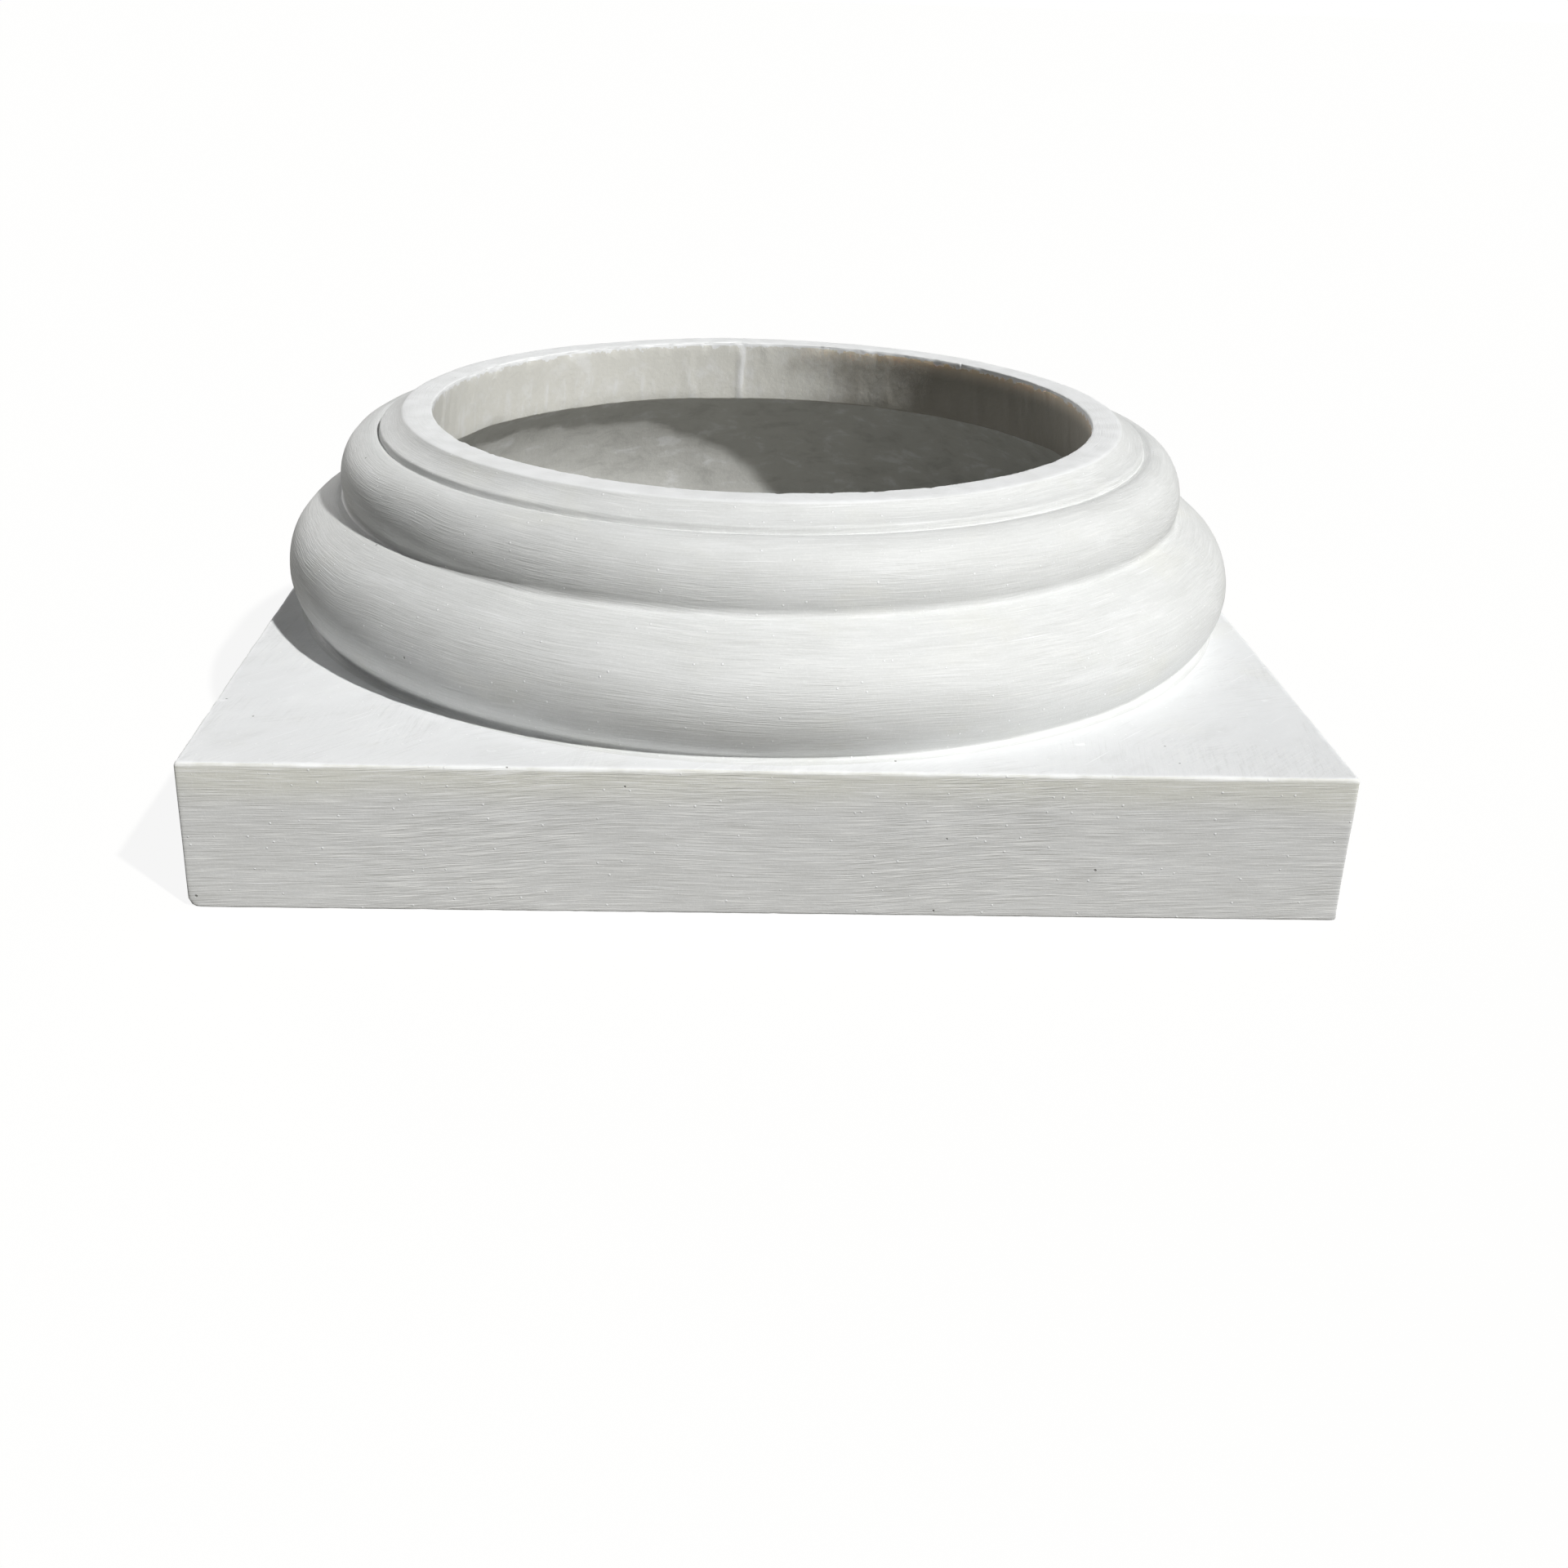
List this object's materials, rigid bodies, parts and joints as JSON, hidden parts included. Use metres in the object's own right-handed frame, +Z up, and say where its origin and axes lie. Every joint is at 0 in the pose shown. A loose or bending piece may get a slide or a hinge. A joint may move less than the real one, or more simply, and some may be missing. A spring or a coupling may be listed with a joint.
{
  "type": "column base",
  "caption": "Classical column base: square plinth, two rounded torus mouldings and a flat-rimmed collar, cast hollow so that a round shaft passes through.",
  "frame": {"origin": "middle of the plinth's underside, on the shaft's axis", "axes": "+Z up along the shaft's axis, +X to the right, -Y towards the front face of the plinth"},
  "size_m": [0.355, 0.355, 0.119],
  "materials": {
    "sanded_cast_stone": "off-white marble-filled resin casting, sanded by hand to fine directional scratches, matt; bare and mottled inside the hollow"
  },
  "bodies": {
    "root": {"column_base": "sanded_cast_stone"}
  },
  "joints": []
}
